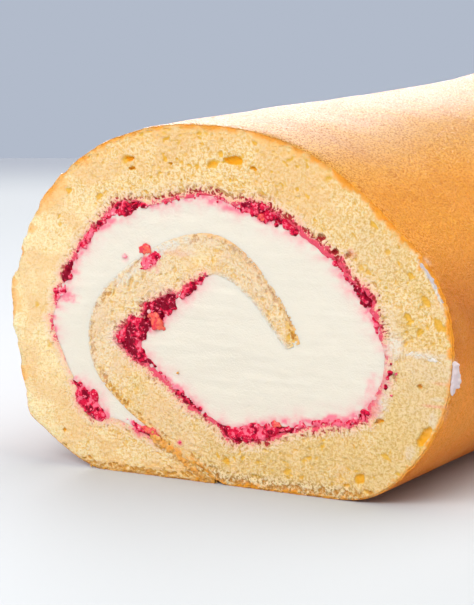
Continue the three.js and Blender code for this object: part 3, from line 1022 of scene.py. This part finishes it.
def fused(piece, voxel, smoothing):
    """The lumps run together into one skin."""
    make_active(piece)
    remesh = piece.modifiers.new("fused", "REMESH")
    remesh.mode = "VOXEL"
    remesh.voxel_size = voxel * MM
    bpy.ops.object.modifier_apply(modifier="fused")
    soften = piece.modifiers.new("softened", "SMOOTH")
    soften.factor = 0.5
    soften.iterations = smoothing
    bpy.ops.object.modifier_apply(modifier="softened")
    bpy.ops.object.shade_smooth()
    return piece


def jam_lumps(name, end, seed, voxel):
    """The berries at one cut end, thickest in the clots and fewer where the knife wiped them off."""
    rng = np.random.default_rng(seed)
    steps = np.arange(JAM_START, JAM_END, LUMP_STEP)
    filled = jam_share(steps)
    share = np.cumsum((strip_at(steps)[3] + 0.2) * filled ** 1.4 * step(filled, 0.05, 0.35))
    count = int(LUMP_DENSITY * share[-1] * LUMP_STEP)
    along = np.interp(rng.uniform(0, share[-1], count), share, steps)
    skin, inwards, sponge, jam = strip_at(along)
    filled = jam_share(along)
    largest = np.minimum(0.26 + 0.3 * jam * filled, 1.3)
    size = np.clip(rng.lognormal(math.log(LUMP_SIZE), 0.4, count), 0.2, largest)
    across = jam_near(along) + rng.uniform(-0.05, 1.02, count) * filled
    spot = skin + inwards * (sponge + 0.1 + across * (jam - 0.1) + rng.normal(0, 0.12, count))[:, None]
    wiped_off = np.hypot((spot[:, 0] - WIPED_X) / 3, (spot[:, 1] - WIPED_Z) / 2.4) < 1
    wiped_off |= by_distance(CREAM_OVER_JAM, along) > 0.5
    sizes = np.where(wiped_off, WIPED_SIZE, size)[:, None] * rng.uniform(0.6, 1.5, (count, 3))
    below = rng.power(0.7, count) * LUMP_LAYER
    y = end * (-FACE_Y + LUMPS_PROUD - below + rng.normal(0, 0.1, count))
    x, z = settled(spot[:, 0], y, spot[:, 1])
    turns = rng.uniform(0, math.pi, (count, 1))
    middles = np.stack([x, y - end * sizes[:, 1] * 0.5, z], axis=1)
    return fused(heaped(name, middles, sizes, turns), voxel, 6)


# How far cream was wiped over the jam by the knife.
CREAM_OVER_JAM = {226: 0, 231: 1.1, 240: 1, 243: 0, 249: 0, 253: 1, 260: 1.1, 264: 0}

# How dark the jam is: crushed berries, with pink juice and cream-stained jam between them.
JAM_TONE = {
    14: 0.2, 33: 0.5, 37: 0.65, 45: 0.6, 58: 0.5, 70: 0.6, 81: 0.1, 87: 0.15, 90: 1, 95: 1, 97: 0.25,
    101: 0.4, 112: 0.4, 119: 0.45, 124: 0.8, 129: 0.8, 132: 0.35, 150: 0.45, 157: 0.5, 160: 0.1, 166: 0.6,
    174: 0.7, 184: 0.8, 188: 0.1, 197: 0.7, 202: 0.8, 213: 0.9, 216: 0.1, 226: 0.7, 232: 0.1, 251: 0.3,
    256: 0, 262: 0.4, 267: 0.5, 270: 0.1, 284: 0.1, 288: 0.3, 300: 0.5, 304: 0.65, 318: 0.65, 328: 0.7,
    334: 0.7, 337: 0.2, 345: 0.7, 352: 1, 362: 0.75, 372: 0.95, 380: 1.1, 389: 1.1, 391: 0.3, 395: 0.75,
    408: 0.75,
}

jam_front = jam_lumps("jam_front", -1, 31, 0.24)
jam_back = jam_lumps("jam_back", 1, 32, 0.34)
band = np.arange(JAM_START, JAM_END, 0.5)
band_skin, band_inwards, band_sponge, band_jam = strip_at(band)
band_middle = band_skin + band_inwards * (band_sponge + band_jam / 2)[:, None]
band_finder = KDTree(len(band))
for index, (x, z) in enumerate(band_middle):
    band_finder.insert((x, z, 0), index)
band_finder.balance()

for piece in (jam_spread, jam_front, jam_back):
    x, y, z = places(piece)
    nearest = np.array([band_finder.find((a, b, 0))[1:] for a, b in zip(x - recentre, z)])
    index = nearest[:, 0].astype(int)
    from_middle = nearest[:, 1] / band_jam[index]
    tone = by_distance(JAM_TONE, band)[index] * (1 - 0.4 * step(from_middle, 0.3, 0.75))
    if piece is jam_spread:
        tone -= 0.9 * drop(jam_share(band)[index], 0.25, 0.65)
    keep_values(piece, richness=tone)

JAM_DEEP = (0.22, 0.0, 0.016)
JAM_RED = (0.68, 0.008, 0.055)
JAM_PINK = (0.93, 0.17, 0.27)
JAM_PALE_AND_PAINTED_GLINT = (0.90, 0.50, 0.54)

jam_finish, tree = new_finish("raspberry_jam")
broad, medium, fine = uneven(tree, 2.4, 1.1, 0.7)
clotted = kept(tree, "richness")[0]
richness = plus(plus(times(broad, 0.55), times(medium, 0.45)), times(clotted, 0.15))
# The fine pale flecks stand in for glints on the wet jam: painted highlights, fewer in the clots. Where the
# jam is thin it has its own paler, creamier colour.
painted_glints = times(ranged(fine, 0.58, 0.68, 0, 0.7), ranged(clotted, 0.2, 0.9, 1, 0.35))
jam_colour = layered(
    JAM_PINK,
    (ranged(richness, 0.5, 0.57), JAM_RED),
    (ranged(richness, 0.6, 0.64), JAM_DEEP),
    (ranged(painted_glints, 0.02, 0.3), JAM_PINK),
    (ranged(painted_glints, 0.3, 0.8), JAM_PALE_AND_PAINTED_GLINT),
    (ranged(richness, 0.44, 0.36), JAM_PALE_AND_PAINTED_GLINT),
)
shade(tree, {
    "Base Color": jam_colour,
    "Normal": raised(fine, 0.0003),
    "Roughness": 0.35,
    "Specular IOR Level": 0.25,
    "Specular Tint": (1, 0.3, 0.4, 1),
    "Subsurface Weight": 0.2,
    "Subsurface Radius": (1, 0.15, 0.2),
    "Subsurface Scale": 0.0012,
})

for piece in (jam_spread, jam_front, jam_back):
    piece.data.materials.clear()
    piece.data.materials.append(jam_finish)
    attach(piece, "root")
    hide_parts("jam")


# --- Cream -------------------------------------------------
# Whipped cream fills the spiral between the turns and the wide space inside the coil. The knife left
# faint level drag marks across it, and the jam has coloured its edge pink.
CREAM_START = 23
COIL_LEAVES_THE_WEDGE = 331
CREAM_CELL = 0.4
OUTLINE_STEP = 1.5
UNDER_JAM = 0.5
UNDER_THIN_JAM = 1.1
UNDER_SPONGE = 0.8
CREAM_SUNK = 0.05


def line_in_cut(start, end, depth_at):
    distances = np.linspace(start, end, max(int(abs(end - start) / OUTLINE_STEP), 2))
    skin, inwards, sponge, jam = strip_at(distances)
    return skin + inwards * depth_at(distances, sponge, jam)[:, None]


def under_the_jam(distances, sponge, jam):
    thin = UNDER_THIN_JAM * jam * (1 - jam_share(distances))
    return sponge + jam - UNDER_JAM - thin - by_distance(CREAM_OVER_JAM, distances) * (jam - 0.2)


cream_outline = np.concatenate([
    line_in_cut(CREAM_START, JAM_END, under_the_jam),
    line_in_cut(JAM_END + 2, STRIP_LENGTH - 1, lambda at, sponge, jam: sponge - UNDER_SPONGE),
    line_in_cut(STRIP_LENGTH - 1, COIL_LEAVES_THE_WEDGE, lambda at, sponge, jam: UNDER_SPONGE + 0 * sponge),
])


def inside(outline, x, z):
    found = np.zeros(len(x), dtype=bool)
    for (x1, z1), (x2, z2) in zip(outline, np.roll(outline, -1, axis=0)):
        if z1 != z2:
            found ^= ((z1 > z) != (z2 > z)) & (x < (x2 - x1) * (z - z1) / (z2 - z1) + x1)
    return found


def blush_at(x, z):
    """How pink the cream is: along the jam, in uneven drags, and where juice was wiped over it."""
    across = np.hypot(x[:, None] - band_middle[None, ::2, 0], z[:, None] - band_middle[None, ::2, 1])
    nearest = across.argmin(axis=1)
    gap = np.maximum(across[np.arange(len(x)), nearest] - band_jam[::2][nearest] / 2, 0)
    gap += 3 * drop(jam_share(band)[::2][nearest], 0.03, 0.3)
    drags = 0.75 + 0.9 * patches(x / 2, z, 1.5, 45) + 0.4 * patches(x, z, 0.8, 46)
    return np.clip(np.exp(-gap) * np.maximum(drags, 0.1) + 0.8 * spotted(JUICE, x, z), 0, 1)


low, high = cream_outline.min(axis=0), cream_outline.max(axis=0)
counts = np.ceil((high - low) / CREAM_CELL).astype(int)
cream, part = flat_grid("cream", int(counts[0]), int(counts[1]))
x, z = (low + part * (high - low)).T
in_cream = inside(cream_outline, x, z)
move_to(cream, x, FACE_Y, z)
corners = np.array([face.vertices for face in cream.data.polygons])
edit("FACE", "DESELECT")
edited()
cream.data.polygons.foreach_set("select", ~in_cream[corners].all(axis=1))
bpy.ops.object.mode_set(mode="EDIT")
bpy.ops.mesh.delete(type="FACE")
bpy.ops.mesh.select_all(action="SELECT")
bpy.ops.mesh.extrude_region_move(TRANSFORM_OT_translate={"value": (0, LENGTH * MM, 0)})
edited()

x, y, z = places(cream)
marks = 0.07 * patches(x / 7, z, 1.3, 41) + 0.04 * patches(x / 9, z, 0.6, 42)
marks += rough(x, z, (0.2, 12, 43), (0.1, 3, 44))
from_edge = np.full(len(x), np.inf)
for edge_x, edge_z in cream_outline:
    from_edge = np.minimum(from_edge, np.hypot(x - edge_x, z - edge_z))
marks *= step(from_edge, UNDER_JAM + 0.3, 3)
y = np.where(y < 0, -1, 1) * (-FACE_Y + marks - CREAM_SUNK)
settled_x, settled_z = settled(x, y, z)
move_to(cream, settled_x, y, settled_z)
keep_values(cream, blush=blush_at(x, z))
finish_mesh(cream)

CREAM_WHITE = (0.77, 0.745, 0.665)
CREAM_PINK = (0.90, 0.22, 0.32)


def cream_material(name, white):
    finish, tree = new_finish(name)
    medium, fine = uneven(tree, 7, 1.4, 0.35)[1:]
    blush = times(kept(tree, "blush")[0], ranged(medium, 0.3, 0.6, 0.5, 1.1))
    shade(tree, {
        "Base Color": layered(white, (blush, CREAM_PINK)),
        "Normal": raised(plus(fine, medium), 0.0001),
        "Roughness": 0.5,
        "Subsurface Weight": 0.4,
        "Subsurface Radius": (1, 0.85, 0.7),
        "Subsurface Scale": 0.002,
    })
    return finish


cream.data.materials.append(cream_material("whipped_cream", CREAM_WHITE))
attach(cream, "root")
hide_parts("cream")


# --- Smears of cream ---------------------------------------
# Cream was pushed out through the tear in the right flank: a thin line of it lies across the crumb,
# a flat lump clings to the skin beside the cut, and a fine streak was wiped on higher up.
def stroke(rng, points, behind, spacing, spread, size):
    """Seeded lumps dragged along a line of points [x, z], which lie so far behind the cut."""
    line = np.column_stack([points, np.broadcast_to(behind, len(points))])
    lengths = np.append(0, np.cumsum(np.hypot(*np.diff(points, axis=0).T)))
    count = max(int(lengths[-1] / spacing), 2)
    at = np.sort(rng.uniform(0, lengths[-1], count))
    x, z, y = (
        np.interp(at, lengths, values) + rng.normal(0, stray, count)
        for values, stray in zip(line.T, (spread, spread, spread * 0.3))
    )
    taper = 0.45 + 0.55 * np.sin(np.pi * np.clip(at / lengths[-1], 0.02, 0.98)) ** 0.5
    sizes = np.array(size) * (taper * rng.lognormal(0, 0.25, count))[:, None]
    return np.stack([x + recentre, y + FACE_Y, z], axis=1), sizes


def strokes(name, seed, lines, voxel, smoothing):
    """One piece of many lines: [points, behind, spacing, spread, a lump's half sizes]."""
    rng = np.random.default_rng(seed)
    middles, sizes = (np.concatenate(parts) for parts in zip(*(stroke(rng, *line) for line in lines)))
    turns = rng.uniform(-0.5, 0.5, (len(middles), 1))
    return fused(heaped(name, middles, sizes, turns), voxel, smoothing)


def on_skin(start, end, count, proud):
    skin, inwards, sponge, jam = strip_at(np.linspace(start, end, count))
    return skin - inwards * proud


# The smears' cream is painted whiter than the cream in the cut: painted light. The lump on the skin is
# painted darker: painted shade.
SMEAR_LIT_WHITE = (0.92, 0.86, 0.77)
SHADED_WHITE = (0.62, 0.56, 0.60)
CREAM_LINES = [
    (((42.6, 33), (46, 33.9), (49.4, 33.6), (53.2, 32.6)), 0.1, 0.05, 0.26, (0.6, 0.16, 0.34)),
    (((-19, 37.6), (-18.8, 37.3)), -0.3, 0.1, 0.1, (0.35, 0.2, 0.35)),
    (((51.4, 20.8), (51.4, 18.4)), 0.1, 0.08, 0.25, (0.35, 0.16, 0.5)),
    (((45, 13.4), (45.8, 11)), 0.1, 0.12, 0.25, (0.35, 0.16, 0.4)),
]
CREAM_ON_SKIN = [
    (on_skin(236.8, 243.6, 7, -0.35), (0.1, 0.7, 1.2, 1.4, 1.2, 0.6, 0.2), 0.04, 0.24, (0.3, 0.55, 0.45)),
    (on_skin(237.5, 243, 5, -0.35), (0.1, 0.4, 0.5, 0.4, 0.1), 0.04, 0.18, (0.3, 0.5, 0.5)),
    (on_skin(212, 224, 5, -1.1), (0.1, 0, 0, 0, 0.1), 0.06, 0.12, (0.3, 0.12, 0.4)),
]
for name, seed, lines, white in (
    ("cream_smears", 61, CREAM_LINES, SMEAR_LIT_WHITE),
    ("cream_on_skin", 66, CREAM_ON_SKIN, SHADED_WHITE),
):
    piece = strokes(name, seed, lines, 0.2, 6)
    x, y, z = places(piece)
    keep_values(piece, blush=0.04 + 0.6 * blush_at(x - recentre, z))
    piece.data.materials.append(cream_material(name, white))
    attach(piece, "root")
    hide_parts("cream")


# --- Loose crumbs ------------------------------------------
# The knife tore crumbs of browned sponge out of the tail's seam and the underside of the roll. They
# stick where they were torn, and one lies on the cream inside the coil.
CRUMB_LINES = [
    (((-18.8, 9.2), (-16.4, 7.8)), 0, 0.05, 0.4, (0.6, 0.4, 0.5)),
    (((-17.6, 8.8), (-14.4, 6.9), (-10, 4.2), (-4.6, 1)), 0, 0.08, 0.4, (0.42, 0.3, 0.36)),
    (((-11.9, 24.2), (-11.7, 24.2)), -0.1, 0.1, 0.05, (0.3, 0.3, 0.2)),
    (((-35, 0.7), (-30, 0.4), (-24, 0.3)), 0.1, 0.3, 0.2, (0.3, 0.3, 0.24)),
    (((-20, 0.3), (-2, 0.3)), 0.1, 0.6, 0.16, (0.26, 0.28, 0.2)),
    (((2, 0.3), (34, 0.5)), 0.1, 0.7, 0.16, (0.24, 0.26, 0.2)),
]
loose_crumbs = strokes("loose_crumbs", 64, CRUMB_LINES, 0.16, 1)
x, y, z = places(loose_crumbs)
keep_values(
    loose_crumbs, skin_depth=2, jam_depth=9, pit=0, film=0, juice=0, rim_reach=2, paleness=-0.3,
    openness=1, baked=0, base_grain=0, browned=0.4 + 0.7 * patches(x, z, 0.8, 65),
)
loose_crumbs.data.materials.append(sponge_finish)
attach(loose_crumbs, "root")
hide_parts("sponge")


# --- Blots of jam and bits of berry ------------------------
# Where the sheet was rolled tight the jam squeezed past the sponge: a blot on top of the coil, thin
# runs into the cream, and paler orange-red bits of berry.
JAM_LINES = [
    (((-20.8, 47), (-19.2, 48.6), (-16.4, 50.4)), 0, 0.03, 0.5, (0.5, 0.18, 0.4)),
    (((-25.7, 49.2), (-25.2, 49.3)), 0, 0.05, 0.25, (0.35, 0.2, 0.35)),
    (((-44, 40.8), (-42, 39.6)), (0.05, 0.1), 0.05, 0.3, (0.4, 0.16, 0.28)),
    (((-11.6, 8.3), (-11, 8.8)), 0, 0.06, 0.15, (0.3, 0.2, 0.3)),
    (((-24.5, 12), (-20.6, 10)), 0, 0.08, 0.35, (0.45, 0.2, 0.35)),
    (((49, 23.2), (51, 22.9), (53, 22.9)), 0, 0.2, 0.12, (0.24, 0.12, 0.18)),
    (((40.9, 31.6), (40.7, 31)), -0.15, 0.2, 0.2, (0.4, 0.2, 0.36)),
    (((40.6, 30), (40.4, 29.2)), -0.15, 0.15, 0.25, (0.45, 0.2, 0.4)),
    (((41.9, 29.2), (42.1, 28.8)), -0.15, 0.2, 0.15, (0.3, 0.2, 0.34)),
    (((40.1, 28.2), (40, 27.2)), -0.15, 0.2, 0.25, (0.34, 0.2, 0.36)),
    (((39.6, 26.3), (39.3, 25.2)), -0.15, 0.2, 0.25, (0.36, 0.2, 0.36)),
    (((40.8, 24.4), (40.6, 24)), -0.15, 0.2, 0.12, (0.24, 0.2, 0.26)),
]
RIGHT_OF = 38
LEFT_OF = -24.9
jam_blots = strokes("jam_blots", 62, JAM_LINES, 0.18, 2)
x = places(jam_blots)[0]
keep_values(jam_blots, richness=np.select([x > RIGHT_OF, x < LEFT_OF], [0.6, -0.7], 0.35))
jam_blots.data.materials.append(jam_finish)

BERRY_LINES = [
    (((-21, 51.3), (-19, 51.6)), -0.1, 0.02, 0.4, (0.4, 0.2, 0.36)),
    (((-18, 36.6), (-17, 35.6), (-17.6, 34)), -0.2, 0.02, 0.55, (0.45, 0.25, 0.45)),
    (((-21, 11), (-18.6, 10), (-16.8, 8.4)), -0.1, 0.06, 0.4, (0.42, 0.24, 0.36)),
    (((8.6, 60.6), (10.4, 60)), -0.1, 0.04, 0.3, (0.42, 0.2, 0.32)),
    (((12.4, 15.2), (14, 15)), -0.1, 0.04, 0.3, (0.42, 0.2, 0.32)),
]
berry_bits = strokes("berry_bits", 63, BERRY_LINES, 0.2, 6)

BERRY_ORANGE = (0.90, 0.15, 0.09)
BERRY_RED = (0.80, 0.04, 0.07)
berry_finish, tree = new_finish("berry_flesh")
medium, fine = uneven(tree, 3, 1, 0.4)[1:]
shade(tree, {
    "Base Color": layered(BERRY_RED, (ranged(medium, 0.4, 0.62), BERRY_ORANGE)),
    "Normal": raised(fine, 0.0002),
    "Roughness": 0.25,
    "Subsurface Weight": 0.3,
    "Subsurface Radius": (1, 0.3, 0.2),
    "Subsurface Scale": 0.001,
})
berry_bits.data.materials.append(berry_finish)
for piece in (jam_blots, berry_bits):
    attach(piece, "root")
    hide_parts("jam")
